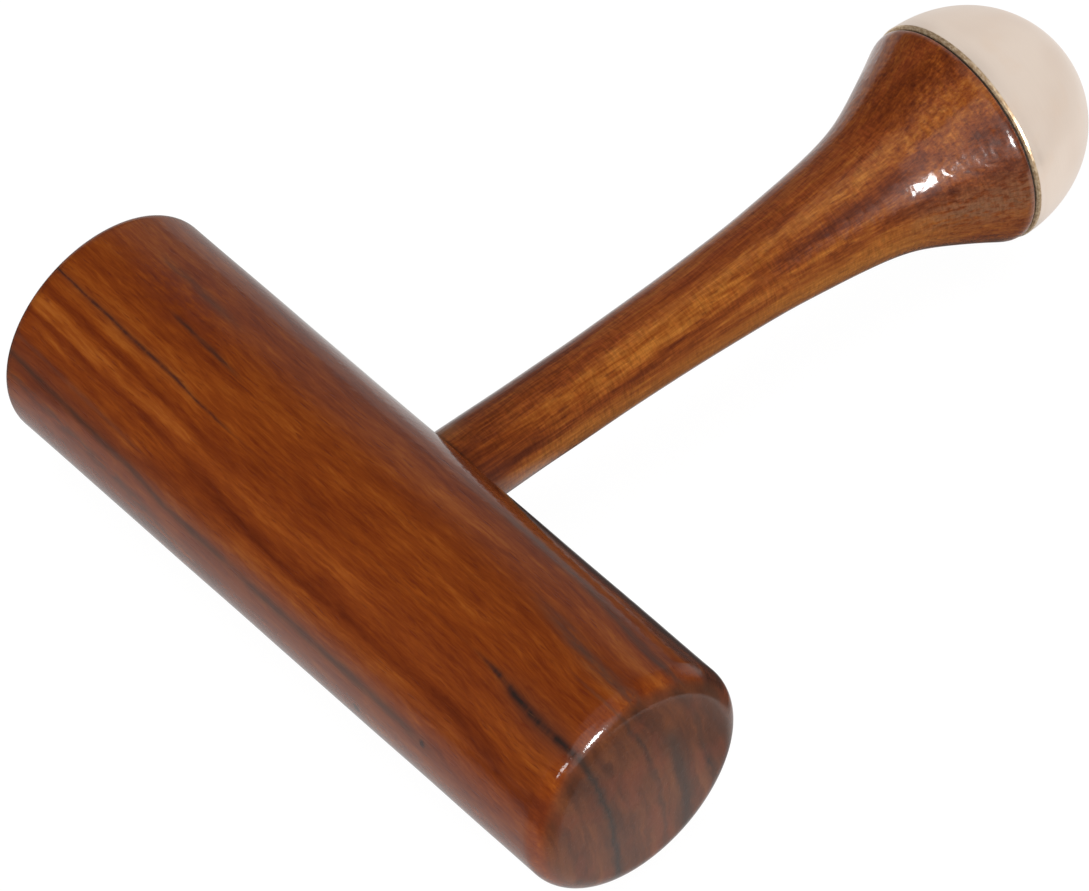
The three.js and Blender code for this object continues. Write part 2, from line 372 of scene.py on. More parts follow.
def build_handle():
    points, faces = revolve(handle_profile(), 192)
    y = points[:, 1].copy()
    scribe_to_head(points)

    # slight unevenness of a hand-sanded flare
    radius, angle = polar(points)
    where = (np.clip((y - 30) / 10, 0, 1) * np.clip((136.3 - y) / 2, 0, 1)
             * (radius > 7.0) * (y < 136.4))
    wave = (0.018 * np.sin(y / 5.1 + 1.3 * np.sin(angle)) + 0.012 * np.sin(y / 2.9 + 2 * angle)
            + 0.014 * np.sin(3 * angle + y / 11))
    scale_radius(points, 1 + where * (wave - 0.02) / np.maximum(radius, 1))
    handle = to_object("handle_wood", spread(points), faces)
    carve(handle, kerf_cutter())
    return handle


def build_wedge():
    depth, bulge = 5.2, 0.02        # half width along Z, and extra in the middle of that side
    rows = np.linspace(MORTISE_END + 0.35, KERF_ROOT - 0.9, 13)
    points, faces = [], []
    for y in rows:
        half = kerf_half_width(y) - 0.06 - 0.02 * math.sin(y * 1.3)
        outline = ((-half, -depth), (0, -depth - bulge), (half, -depth), (half, -depth / 2),
                   (half, 0), (half, depth / 2), (half, depth), (0, depth + bulge),
                   (-half, depth), (-half, depth / 2), (-half, 0), (-half, -depth / 2))
        points += [(x, y, z) for x, z in outline]
    count = len(outline)
    for i in range(len(rows) - 1):
        this, other = i * count, (i + 1) * count
        for k in range(count):
            l = (k + 1) % count
            faces.append((this + k, this + l, other + l, other + k))
    last = (len(rows) - 1) * count
    faces += [tuple(range(count)), tuple(last + k for k in range(count - 1, -1, -1))]
    wedge = to_object("fox_wedge_wood", points, faces, sharp=40)
    bevel = wedge.modifiers.new("edge", "BEVEL")
    bevel.width, bevel.segments = 0.00022, 2
    bevel.limit_method, bevel.angle_limit = "ANGLE", math.radians(40)
    apply_modifiers(wedge)
    finish_normals(wedge, sharp=40)
    return wedge


# ---------------------------------------------------------------- bolt, dome and ring

def thread_phase(along, pitch, angle):
    return (along / pitch - angle / (2 * math.pi)) % 1.0


def machine_thread(angle, y):
    """Radius of the machine thread."""
    phase = thread_phase(y - MACHINE_FROM, MACHINE_PITCH, angle)
    return 4.0 - 0.74 * np.clip((np.abs(phase - 0.5) * 2 - 0.14) / 0.72, 0, 1)


def bolt_radius(angles, y):
    """Radii round the bolt at y: wood thread, plain shank, then machine thread."""
    if y < WOOD_TO:
        up = y - BOLT_START
        taper = min(1.0, 0.12 + 0.88 * math.sqrt(min(1.0, up / 9.0)))
        phase = thread_phase(up, WOOD_PITCH, angles)
        crest = np.clip(1 - np.abs(phase - 0.5) / 0.21, 0, 1) ** 0.8
        fade = min(1.0, (WOOD_TO - y) / 2.2)
        return 2.95 * taper + (1.05 * taper) * crest * fade + (1 - fade) * 0.3
    if y < MACHINE_FROM:
        return np.full(len(angles), 3.25 + 0.3 * min(1.0, (y - WOOD_TO) / 1.2))
    fade = min(1.0, (y - MACHINE_FROM) / 1.0 + 0.05)
    radius = 3.55 + (machine_thread(angles, y) - 3.55) * fade
    return np.minimum(radius, 3.15 + max(0.0, BOLT_END - y) * 1.2)


def build_bolt():
    segments = 72
    angles = 2 * math.pi * np.arange(segments) / segments
    stations = np.concatenate([
        np.arange(BOLT_START, WOOD_TO, 0.14), np.arange(WOOD_TO, MACHINE_FROM, 0.8),
        np.arange(MACHINE_FROM, BOLT_END - 0.05, 0.105), [BOLT_END]])
    points, faces = [(0, BOLT_START, 0)], []
    for y in stations:
        radius = bolt_radius(angles, y)
        points.extend(np.stack([radius * np.cos(angles), np.full(segments, y),
                                radius * np.sin(angles)], 1).tolist())
    top = len(points)
    points.append((0, BOLT_END, 0))
    last = 1 + (len(stations) - 1) * segments
    for k in range(segments):
        l = (k + 1) % segments
        faces.append((0, 1 + k, 1 + l))
        for this in range(1, last, segments):
            other = this + segments
            faces.append((this + k, other + k, other + l, this + l))
        faces.append((last + k, top, last + l))
    return to_object("dome_stud_bolt", points, faces, sharp=38)


def dome_profile():
    """Tapped bore, boss, cavity, lip and outer shell, from pole to pole."""
    power = 2 / DOME_POWER
    shell = []
    for i in range(73):
        angle = math.pi / 2 * i / 72
        shell.append((DOME_SPRING + DOME_RISE * math.sin(angle) ** power,
                      0.0 if i == 72 else DOME_R * math.cos(angle) ** power))
    cavity, start = [], BOSS_R + 0.6
    for i in range(15):
        radius = start + (CAVITY_R - BOSS_R - 0.6) * math.sin(math.pi / 2 * i / 14)
        rise = 0 if i == 14 else math.sqrt(1 - (radius / CAVITY_R) ** 2)
        cavity.append((CAVITY_STRAIGHT + (CAVITY_ROOF - CAVITY_STRAIGHT) * rise, radius))
    bore = [(TAP_END, 0), (TAP_END, 3.0), (TAP_END - 1.0, 3.55)]
    bore += [(y, TAP_R) for y in np.arange(TAP_END - 1.15, BOSS_FACE + 0.5, -0.21)]
    bore += [(BOSS_FACE + 0.45, 4.35), (BOSS_FACE, 4.75)]
    boss = filleted([(*bore[-1], 0), (BOSS_FACE, BOSS_R, 0.5), (*cavity[0], 0)])[1:-1]
    lip = filleted([
        (DOME_BASE, CAVITY_R, 0), (DOME_BASE, 21.15, 0.06), (DOME_BASE + 0.28, 21.47, 0.1),
        (DOME_SPRING, DOME_R - 0.03, 0.35), (*shell[3], 0)], steps=5)
    skirt = dense([cavity[-1], (DOME_BASE + 0.3, CAVITY_R)], 1.5)[1:]
    skirt += [(DOME_BASE + 0.02, CAVITY_R + 0.25)]
    return bore + boss + cavity + skirt + dense(lip, 0.7)[1:] + shell[4:]


def build_dome():
    points, faces = revolve(dome_profile(), 192)
    radius, angle = polar(points)
    y = points[:, 1]
    thread = machine_thread(angle, y) + 0.08
    tapped = np.where(np.abs(radius - TAP_R) < 1e-6, thread, radius)
    scale_radius(points, np.where(radius > 1e-6, tapped / np.maximum(radius, 1e-6), 1))

    # a cast and hand-polished surface is never a perfect sphere
    radius, _ = polar(points)
    outer = ((y > DOME_SPRING + 0.5) & (radius > 0.1)
             & ((radius / DOME_R) ** 2 + ((y - DOME_SPRING) / DOME_RISE) ** 2 > 0.93))
    wave = 0.02 * np.sin(2 * angle + y / 6) + 0.014 * np.sin(3 * angle - y / 4.1) - 0.02
    scale_radius(points, np.where(outer, 1 + wave / np.maximum(radius, 3), 1))
    return to_object("dome_cap_bronze", points, faces, sharp=24)


def build_ring():
    low, high = REBATE_FLOOR + 0.03, DOME_BASE - 0.015
    bore, body = SPIGOT_R + 0.05, REBATE_R - 0.03
    profile = [(low, bore), (low, body), (SEAM_Y + 0.02, body), (SEAM_Y + 0.02, 20.86),
               (SEAM_Y + 0.10, 20.95), (SEAM_Y + 0.20, 20.98), (SEAM_Y + 0.29, 20.94),
               (high, 20.86), (high, SPIGOT_R + 0.45), (high - 0.4, bore)]
    points, faces = revolve(profile, 192)
    radius, angle = polar(points)
    # uneven squeeze-out round the visible edge
    wave = 0.03 * np.sin(7 * angle) + 0.03 * np.sin(17 * angle + 1.0) + 0.02 * np.sin(41 * angle)
    scale_radius(points, 1 + (radius > 20.85) * wave / np.maximum(radius, 1))
    return to_object("bedding_ring_compound", points, faces, sharp=30)


# ---------------------------------------------------------------- shader helpers
# Nodes are added to the tree last passed to open_tree. + - * / on a Value add math nodes.

def open_tree(tree):
    global node_tree
    node_tree = tree
    tree.nodes.clear()


def add_node(kind, inputs=(), **settings):
    """A node with settings, and inputs given in order or as {index or name: value}."""
    node = node_tree.nodes.new(kind)
    for name, value in settings.items():
        setattr(node, name, value)
    for key, value in inputs.items() if isinstance(inputs, dict) else enumerate(inputs):
        if isinstance(value, Value):
            node_tree.links.new(value.socket, node.inputs[key])
        else:
            node.inputs[key].default_value = value
    return node


class Value:
    """An output socket that can be used in arithmetic."""

    def __init__(self, node, output=0):
        self.socket = node.outputs[output]

    def __add__(self, other):
        return calc("ADD", self, other)

    def __radd__(self, other):
        return calc("ADD", other, self)

    def __sub__(self, other):
        return calc("SUBTRACT", self, other)

    def __mul__(self, other):
        return calc("MULTIPLY", self, other)

    def __truediv__(self, other):
        return calc("DIVIDE", self, other)


def calc(operation, *values):
    return Value(add_node("ShaderNodeMath", values, operation=operation))


def rise(value, start, end, before=0.0, after=1.0):
    """Smooth step from `before` at `start` to `after` at `end`; start may be the larger."""
    if start > end:
        start, end, before, after = end, start, after, before
    return Value(add_node("ShaderNodeMapRange", (value, start, end, before, after),
                          interpolation_type="SMOOTHSTEP"))


def peak(value, centre, width):
    """Gaussian hump of height 1."""
    offset = (value - centre) / width
    return calc("EXPONENT", offset * offset * -1.0)


def between(value, low, high, soft):
    """1 between low and high, fading over twice `soft` at each end."""
    return rise(value, low - soft, low + soft) * rise(value, high + soft, high - soft)


def swing(noise_value, amount):
    """A 0..1 noise turned into a swing about zero, `amount` wide."""
    return (noise_value - 0.5) * amount


def lerp(factor, low, high):
    return calc("ADD", low, calc("MULTIPLY", factor, calc("SUBTRACT", high, low)))


def distance_from_axis(first, second):
    return calc("SQRT", first * first + second * second)


def degrees(opposite, adjacent):
    return calc("ARCTAN2", opposite, adjacent) * (180 / math.pi)


def combine(*coordinates):
    return Value(add_node("ShaderNodeCombineXYZ", coordinates))


def split(vector):
    node = add_node("ShaderNodeSeparateXYZ", (vector,))
    return [Value(node, i) for i in range(3)]


def vector_math(operation, inputs, output="Vector"):
    return Value(add_node("ShaderNodeVectorMath", inputs, operation=operation), output)


def scaled(vector, factor):
    return vector_math("SCALE", {0: vector, "Scale": factor})


def noise(at, per_mm=None, detail=2.0, rough=0.5, distortion=0.0, scale=1.0):
    """Noise at a vector, or at three coordinates each times its rate (None: as it is)."""
    if per_mm:
        at = combine(*(place if rate is None else place * rate
                       for place, rate in zip(at, per_mm)))
    return Value(add_node("ShaderNodeTexNoise", {
        "Vector": at, "Scale": scale, "Detail": detail, "Roughness": rough,
        "Distortion": distortion}, noise_dimensions="3D"), "Fac")


def rgb(*levels):
    """Linear RGBA from sRGB levels of 0 to 255."""
    shares = [level / 255 for level in levels]
    return (*(s / 12.92 if s <= 0.04045 else ((s + 0.055) / 1.055) ** 2.4 for s in shares), 1.0)


def mix(factor, first, second):
    """Blend of two colours, each a Value or three sRGB levels."""
    first, second = (c if isinstance(c, Value) else rgb(*c) for c in (first, second))
    return Value(add_node("ShaderNodeMix", {0: factor, 6: first, 7: second},
                          data_type="RGBA", blend_type="MIX", clamp_factor=True), 2)


def ramp(factor, stops):
    """Smooth colour ramp through (position, sRGB levels)."""
    node = add_node("ShaderNodeValToRGB", {"Fac": factor})
    node.color_ramp.interpolation = "B_SPLINE"
    elements = node.color_ramp.elements
    while len(elements) < len(stops):
        elements.new(0.5)
    for element, (position, levels) in zip(elements, stops):
        element.position = position
        element.color = rgb(*levels)
    return Value(node, "Color")


def curve(value, points):
    """Piecewise smooth function of a value in 0..1."""
    node = add_node("ShaderNodeFloatCurve", {"Value": value})
    line = node.mapping.curves[0]
    line.points[0].location = points[0]
    line.points[1].location = points[-1]
    for point in points[1:-1]:
        line.points.new(*point)
    node.mapping.update()
    return Value(node)


def bump(height, distance):
    return Value(add_node("ShaderNodeBump", {
        "Strength": 1.0, "Distance": distance, "Height": height}))


def millimetres():
    """Object coordinates in millimetres from ORIGIN."""
    place = Value(add_node("ShaderNodeTexCoord"), "Object")
    return scaled(vector_math("SUBTRACT", (place, tuple(ORIGIN / 1000))), 1000.0)


def facing(axis):
    """How squarely the surface faces along an axis (0 is X, 1 is Y), either way."""
    normal = Value(add_node("ShaderNodeNewGeometry"), "Normal")
    return calc("ABSOLUTE", split(normal)[axis])


def output(shader, kind="ShaderNodeOutputMaterial"):
    add_node(kind, {"Surface": shader})


def surface(inputs):
    output(Value(add_node("ShaderNodeBsdfPrincipled", inputs)))


def lacquered(colour, rough, specular, coat_rough, normal, coat_normal):
    """Wood under a clear gloss coat."""
    surface({"Base Color": colour, "Roughness": rough, "Specular IOR Level": specular,
             "Coat Weight": 1.0, "Coat Roughness": coat_rough, "Coat IOR": 1.5,
             "Normal": normal, "Coat Normal": coat_normal})


def emission(colour, strength):
    return Value(add_node("ShaderNodeEmission", {"Color": (*colour, 1), "Strength": strength}))


def mix_shader(factor, first, second):
    return Value(add_node("ShaderNodeMixShader", (factor, first, second)))


def new_material(name):
    made = bpy.data.materials.new(name)
    made.use_nodes = True
    open_tree(made.node_tree)
    return made


# ---------------------------------------------------------------- head wood

# Drift of the growth layers: (share of the way from x = -75 to 80, share of 10 mm)
LAYER_DRIFT = [
    (0.0, 0.205), (0.13, 0.292), (0.206, 0.341), (0.265, 0.379), (0.322, 0.438), (0.48, 0.475),
    (0.787, 0.53), (0.862, 0.67), (0.90, 0.742), (1.0, 0.755)]
# Ramp stops: (tone, sRGB levels)
HEAD_SIDE_RAMP = [(0.14, (72, 25, 6)), (0.33, (93, 36, 8)), (0.50, (109, 47, 10)),
                  (0.66, (125, 61, 15)), (0.88, (148, 83, 28))]
HEAD_END_RAMP = [(0.16, (52, 30, 20)), (0.36, (76, 41, 24)), (0.52, (93, 51, 28)),
                 (0.70, (108, 63, 34)), (0.90, (120, 75, 42))]
# Pin knots on the -Y flank: (x, y, z, radius)
PIN_KNOTS = ((26.1, -22.2, -3.4, 0.62), (43.8, -22.3, 3.1, 0.50), (-51.8, -21.5, 8.2, 0.34))


def dark_layers(colour, place, x, y, z):
    """Named dark layers, from the -Y flank over the top to the +Y flank."""
    tail = noise((x, 3.0, 5.0), (1 / 14, None, None))
    rag = rise(noise((x, y, z), (1 / 6, 0.8, 0.8), detail=3.0, rough=0.6), 0.30, 0.62)
    broken = noise((x, 9.0, 2.0), (1 / 4, None, None), detail=3.0, rough=0.65)
    thin = 0.27 + between(x, -58, -34, 5.0) * 0.11 + rise(x, 42, 60) * 0.62
    where = rise(x, -14, -28) * 0.75 + rise(x, 44, 53) + 0.12
    # (layer coordinate, width, strength, sRGB levels)
    layers = (
        (-16.3, 2.4, rise(x, 58, 20) * 0.22, (84, 58, 48)),
        (-16.3, 0.5, rise(x, 60, 30) * rise(tail, 0.25, 0.6, before=0.35) * 0.84, (60, 38, 30)),
        (-18.5, 0.4, rise(x, 20, -30) * rise(rag, 0.2, 0.8) * 0.55, (64, 42, 34)),
        (-13.4, 0.35, rise(x, -25, -45) * 0.40, (74, 46, 36)),
        (-20.5, 0.9, rise(tail, 0.6, 0.3) * 0.48, (70, 48, 40)),
        (8.7, 0.46, between(x, -44, -27, 3.0) * (0.45 + rag * 0.45), (46, 31, 24)),
        (15.2, 0.85, between(x, -58, -36, 5.0) * (0.22 + rag * 0.42), (66, 44, 35)),
        (14.6, 1.5, rise(x, 40, 58) * (0.30 + rag * 0.46), (66, 48, 40)),
        (22.7, 0.8, rise(x, 6, 34) * (0.30 + rag * 0.42), (62, 44, 36)),
        (10.6, 0.35, rise(x, 58, 70) * 0.50, (66, 42, 32)),
        (27.2, 0.9, rise(x, 50, 68) * 0.60, (62, 46, 40)),
        (-22.5, 0.7, 0.35, (66, 48, 40)),
        (0.05, thin * 3.4, rise(x, 44, 66) * 0.40 + rise(x, -20, -40) * 0.20, (74, 46, 34)),
        (0.0, thin, where * rise(broken, 0.30, 0.58, before=0.35) * 0.92, (38, 26, 22)))
    for centre, width, strength, levels in layers:
        colour = mix(peak(place, centre, width) * strength, colour, levels)
    return colour


def head_end_colour(layer, x, y, z):
    """End grain: the layers show as wavy upright bands."""
    wavy = layer + swing(noise((x, y, z), (0.02, 0.22, 0.16), detail=3.0, rough=0.6), 3.2)
    band = noise((wavy, z, 3.7), (1 / 2.4, 1 / 17, None))
    fine_band = noise((wavy, z, 8.1), (1 / 0.9, 1 / 9.0, None), rough=0.55)
    speck = noise((x, y, z), (0.2, 3.4, 1.5), rough=0.6)
    tone = swing(band, 0.70) + swing(fine_band, 0.26) + swing(speck, 0.10) + 0.43
    colour = ramp(tone, HEAD_END_RAMP)
    blush = noise((3.0, y, z), (None, 1 / 5.5, 1 / 9))
    colour = mix(rise(blush, 0.46, 0.66) * 0.40, colour, (104, 50, 30))
    # dark bands: centre and width, times strength
    dark = (peak(wavy, 0.0, 0.9) * 0.70 + peak(wavy, 0.3, 2.2) * 0.22
            + peak(wavy, 15.6, 1.7) * rise(z, 13, 6) * 0.80 + peak(wavy, 10.4, 0.6) * 0.45
            + peak(wavy, 26.4, 1.0) * 0.5 + peak(wavy, 21.5, 0.7) * 0.3)
    return mix(dark, colour, (50, 38, 32))


def head_material():
    made = new_material("head_hardwood")
    point = millimetres()
    x, y, z = split(point)

    # growth layers: nearly flat across the head, drifting slowly along it
    drift = curve((x + 75.0) / 155.0, LAYER_DRIFT)
    slow = noise((x, y, z), (1 / 70, 1 / 17, 1 / 17))
    layer = y + z * 0.1732 + z * z * 0.00615 + drift * 10.0 + swing(slow, 1.1)
    wobble = noise((x, y, z), (1 / 11, 0.30, 0.30), detail=3.0, rough=0.6)
    ripple = noise((x, y, z), (1 / 2.6, 0.95, 0.95), rough=0.6)
    warped = layer + swing(wobble, 1.3) + swing(ripple, 0.48)
    line_place = layer + swing(wobble, 0.60) + swing(ripple, 0.32)

    # variation from broad zones down to single fibres
    zones = noise((x, warped, z), (1 / 46, 1 / 4.2, 1 / 13))
    streak = noise((x, warped, z), (1 / 9, 1 / 1.05, 1 / 3.0),
                   detail=3.0, rough=0.62, distortion=0.35)
    thread = noise((x * (1 / 5.5) + 17.0, warped, z), (None, 1 / 0.42, 1 / 1.4), rough=0.6)
    cloud = noise((x, y, z * (1 / 3.6) + 7.0), (1 / 9, 1 / 3.6, None), detail=3.0, rough=0.55)
    fibre = noise((x, y, z), (1 / 4, 2.6, 2.6), rough=0.65)
    dash = noise((x, y, z), (1 / 4.0, 1.6, 1.6), rough=0.55)
    tone = (swing(zones, 0.42) + swing(streak, 0.56) + swing(thread, 0.30)
            + swing(cloud, 0.26) + 0.49)

    # lighter and darker layers: (layer coordinate, width, reach along X, change of tone)
    for centre, width, reach, change in (
            (-10.3, 1.5, rise(x, -38, -5), -0.22), (-6.6, 1.9, rise(x, 10, -34), 0.12),
            (-8.8, 0.6, rise(x, -10, -36), -0.22), (-4.0, 0.7, rise(x, 0, -30), -0.20),
            (2.2, 1.8, rise(x, -10, -50), 0.13), (-2.0, 1.0, rise(x, -30, -55), 0.14),
            (17.5, 1.2, between(x, 0, 34, 10.0), 0.12), (20.0, 1.5, rise(x, 40, 60), 0.16)):
        tone = tone + peak(warped, centre, width) * (reach * change)

    # mottled dark patch towards -X on the +Y flank
    mottle = noise((x, y, z), (1 / 4.5, 1 / 2.0, 1 / 2.0), detail=3.0, rough=0.6)
    patch = peak(x, -47.0, 13.0) * peak(warped, 13.0, 5.0) * rise(mottle, 0.35, 0.62)
    tone = tone + patch * -0.20 + rise(x, -30, -58) * rise(warped, 6, 16) * 0.10
    colour = ramp(tone, HEAD_SIDE_RAMP)
    colour = mix(patch * 0.35, colour, (96, 44, 30))
    colour = dark_layers(colour, line_place, x, y, z)

    # painted reflection: a dark strip along the +X part, between these degrees up from +Y,
    # standing in for the handle mirrored in the lacquer
    painted_handle_reflection = (between(degrees(z, y) + swing(wobble, 7.0), 24, 42.5, 2.6)
             * rise(x, 6, 18) * (0.55 + rise(streak, 0.35, 0.6) * 0.30))
    colour = mix(painted_handle_reflection, colour, (46, 20, 9))

    # short dark dashes along the grain, pale flecks, and the fibres
    colour = mix(rise(dash, 0.60, 0.73) * 0.45, colour, (84, 28, 10))
    fleck = noise((x * (1 / 5.0) + 40.0, y, z), (None, 1.9, 1.9), detail=1.0)
    colour = mix(rise(fleck, 0.70, 0.80) * 0.08, colour, (166, 98, 40))
    colour = scaled(colour, 0.86 + fibre * 0.28)

    # each knot is a dark core in a brown halo, stretched along X and Z
    stretch_x, stretch_z = 0.75, 0.62
    for knot_x, knot_y, knot_z, radius in PIN_KNOTS:
        centre = (knot_x * stretch_x, knot_y, knot_z * stretch_z)
        away = vector_math("DISTANCE", (combine(x * stretch_x, y, z * stretch_z), centre),
                           "Value")
        colour = mix(rise(away, radius * 1.6, radius * 0.5) * 0.85, colour, (44, 22, 18))
        colour = mix(peak(away, radius * 2.0, radius * 0.9) * 0.30, colour, (92, 46, 26))

    # painted shade: the head darkened round the foot of the stem, where the joint is in shade
    foot = distance_from_axis(x, z)
    colour = mix(rise(foot, 8.75, 8.0) * rise(y, 8, 14) * 0.7, colour, (38, 17, 9))
    colour = mix(rise(facing(0), 0.62, 0.96), colour, head_end_colour(layer, x, y, z))

    # orange peel in the lacquer, grittier at the +X end, and grain below it
    peel = noise(point, distortion=0.2, scale=0.62)
    grit = noise(point, detail=1.0, scale=3.1)
    peel_height = peel + grit * rise(x, 66.5, 69.5, before=0.08, after=0.17)
    grain_height = fibre * 0.7 + rise(dash, 0.60, 0.73) * -0.8
    lacquered(colour, rough=0.40 + streak * 0.18, specular=0.03, coat_rough=0.075 + grit * 0.03,
              normal=bump(grain_height, distance=0.00006),
              coat_normal=bump(peel_height, distance=0.000055))
    return made


# ---------------------------------------------------------------- handle wood

HANDLE_RAMP = [(0.14, (71, 28, 9)), (0.33, (99, 43, 12)), (0.50, (122, 61, 18)),
               (0.67, (142, 82, 28)), (0.90, (168, 108, 43))]
# Zones round the stem, where 0 degrees is +X and 90 the top:
# (degrees, width in degrees, y from, y to, softness, change of tone)
HANDLE_ZONES = (
    (99, 17, 10, 150, 12, -0.04),       # red-brown along the top
    (-6, 20, 22, 122, 10, 0.17),        # golden, at +X and just below
    (66, 12, 34, 112, 12, 0.09),        # golden flank
    (73, 6, 70, 122, 10, 0.09),
    (45, 9, 28, 70, 8, 0.06),
    (28, 5, 24, 62, 8, -0.26),          # dark line low on the flank
    (34, 4, 60, 98, 8, -0.20),
    (49, 6, 90, 124, 8, -0.18),
    (30, 8, 80, 116, 9, 0.15),
    (25, 9, 114, 140, 6, -0.20),
    (45, 8, 128, 140, 5, -0.14),
    (104, 17, 112, 140, 6, -0.05),      # dark red patch on the flare
    (68, 11, 112, 140, 6, 0.08),
    # painted shade: the next zone darkens the stem's base next to the head
    (35, 60, 20, 33, 5, -0.13),         # dusky next to the head
    (128, 12, 20, 60, 10, -0.10))


def handle_material():
    made = new_material("handle_hardwood")
    point = millimetres()
    x, y, z = split(point)
    sway = noise((x, y, z), (1 / 14, 1 / 50, 1 / 14))
    drift = noise((x, y, z), (1 / 5, 1 / 12, 1 / 5), rough=0.55)
    around = degrees(z, x) + swing(sway, 18.0) + swing(drift, 10.0)
    warped_x = x + swing(drift, 1.3) + y * 0.012
    warped_z = z + swing(sway, 1.6)
    across = warped_x * 0.42 + warped_z * 0.90
    warped = (warped_x, y, warped_z)

    # variation from broad zones down to single fibres
    broad = noise(warped, (1 / 7, 1 / 48, 1 / 7))
    layer = noise((across, y, x), (1 / 1.3, 1 / 48, 1 / 6), detail=3.0, rough=0.6)
    streak = noise(warped, (1 / 0.95, 1 / 17, 1 / 0.95), detail=3.0, rough=0.62)
    thread = noise(warped, (1 / 0.40, 1 / 6, 1 / 0.40), rough=0.6)
    flame = noise(warped, (1 / 1.3, 1 / 3.0, 1 / 1.3), detail=3.0, rough=0.6)
    fibre = noise((x, y, z), (2.8, 1 / 7, 2.8), rough=0.65)
    tone = (swing(broad, 0.50) + swing(layer, 0.45) + swing(streak, 0.55) + swing(thread, 0.50)
            + (flame - 0.5) * peak(around, 62, 30) * 0.42 + 0.45)
    for angle, width, start, end, soft, change in HANDLE_ZONES:
        tone = tone + peak(around, angle, width) * between(y, start, end, soft) * change
    colour = ramp(tone, HANDLE_RAMP)

    # tints over parts of the stem
    grey = peak(around, 6, 15) * between(y, 118, 142, 7) * rise(streak, 0.30, 0.60)
    colour = mix(grey * 0.80, colour, (108, 76, 54))
    gold = peak(around, -14, 20) * between(y, 30, 120, 10) * rise(layer, 0.30, 0.60, before=0.5)
    colour = mix(gold * 0.50, colour, (152, 98, 40))
    rust = peak(around, 102, 24) * rise(broad, 0.40, 0.60)
    colour = mix(rust * 0.32, colour, (112, 48, 26))

    # ripple in the figure: fine bands across the grain, partly the wood's own figure and partly
    # painted sheen for the light that curly figure catches
    figure = noise((x, y, z), (1 / 1.7, 1 / 0.50, 1 / 1.7), rough=0.6, distortion=0.3)
    curl = noise((x, y, z), (1 / 5, 1 / 13, 1 / 5), detail=1.0)
    ripple = (figure - 0.5) * rise(curl, 0.35, 0.6, before=0.60, after=1.20)
    colour = scaled(colour, 1.0 + ripple)
    dash = noise((x, y * (1 / 3.4) + 11.0, z), (1.7, None, 1.7))
    colour = mix(rise(dash, 0.60, 0.73) * 0.50, colour, (80, 34, 15))
    colour = scaled(colour, 0.80 + fibre * 0.40)

    # painted shade in the corner where the stem meets the head, then a grey-brown band on the +X
    # side and a paler band on the upper -X side, just beside it
    away = distance_from_axis(y, z) - 22.5
    corner = rise(away + swing(streak, 0.5), 0.95, 0.15)
    colour = mix(corner * 0.72, colour, (40, 18, 10))
    grey_band_by_head = peak(around, 8, 26) * peak(away, 1.5, 3.6)
    colour = mix(grey_band_by_head * 0.55, colour, (82, 46, 38))
    pale = peak(around, 118, 18) * peak(away, 1.8, 2.4)
    colour = mix(pale * 0.45, colour, (150, 98, 52))

    # end grain on the spigot and the tenon
    colour = mix(rise(facing(1), 0.90, 0.99) * 0.6, colour, (92, 52, 28))

    # orange peel in the lacquer, stronger towards the flare
    peel = noise(point, detail=1.0, distortion=0.3, scale=0.50)
    grit = noise(point, detail=1.0, scale=2.2)
    peel_height = (peel + grit * 0.05) * rise(y, 95, 118, before=0.6)
    lacquered(colour, rough=0.36 + streak * 0.20, specular=0.05, coat_rough=0.11 + grit * 0.04,
              normal=bump(fibre * 0.7 + figure * 0.25, distance=0.00008),
              coat_normal=bump(peel_height, distance=0.00009))
    return made


def wedge_material():
    made = new_material("wedge_hardwood")
    place = split(millimetres())
    fibre = noise(place, (2.5, 0.22, 2.0), detail=3.0, rough=0.6)
    band = noise(place, (0.7, 0.03, 0.55))
    flake = noise(place, (1.5, 0.9, 4.0), detail=1.0)
    colour = mix(rise(band, 0.35, 0.65), (205, 168, 118), (176, 136, 88))
    colour = mix(rise(flake, 0.62, 0.72) * 0.4, colour, (150, 108, 66))
    colour = scaled(colour, 0.82 + fibre * 0.36)
    surface({"Base Color": colour, "Roughness": 0.55 + fibre * 0.2, "Specular IOR Level": 0.35,
             "Normal": bump(fibre, distance=0.00012)})
    return made


# ---------------------------------------------------------------- metals and compound

def dome_inside(y, radius):
    """1 on the dome's unpolished inner surfaces."""
    over = calc("MAXIMUM", (y - DOME_SPRING) * (1 / DOME_RISE), 0.0)
    shell = (calc("POWER", radius * (1 / DOME_R), DOME_POWER)
             + calc("POWER", over, DOME_POWER))
    under_shell = rise(shell, 0.986, 0.974) * rise(y, DOME_SPRING + 0.6, DOME_SPRING + 1.6)
    skirt = rise(radius, 18.3, 17.9) * rise(y, DOME_SPRING + 4.0, DOME_SPRING + 3.0)
    return calc("MAXIMUM", under_shell, skirt)


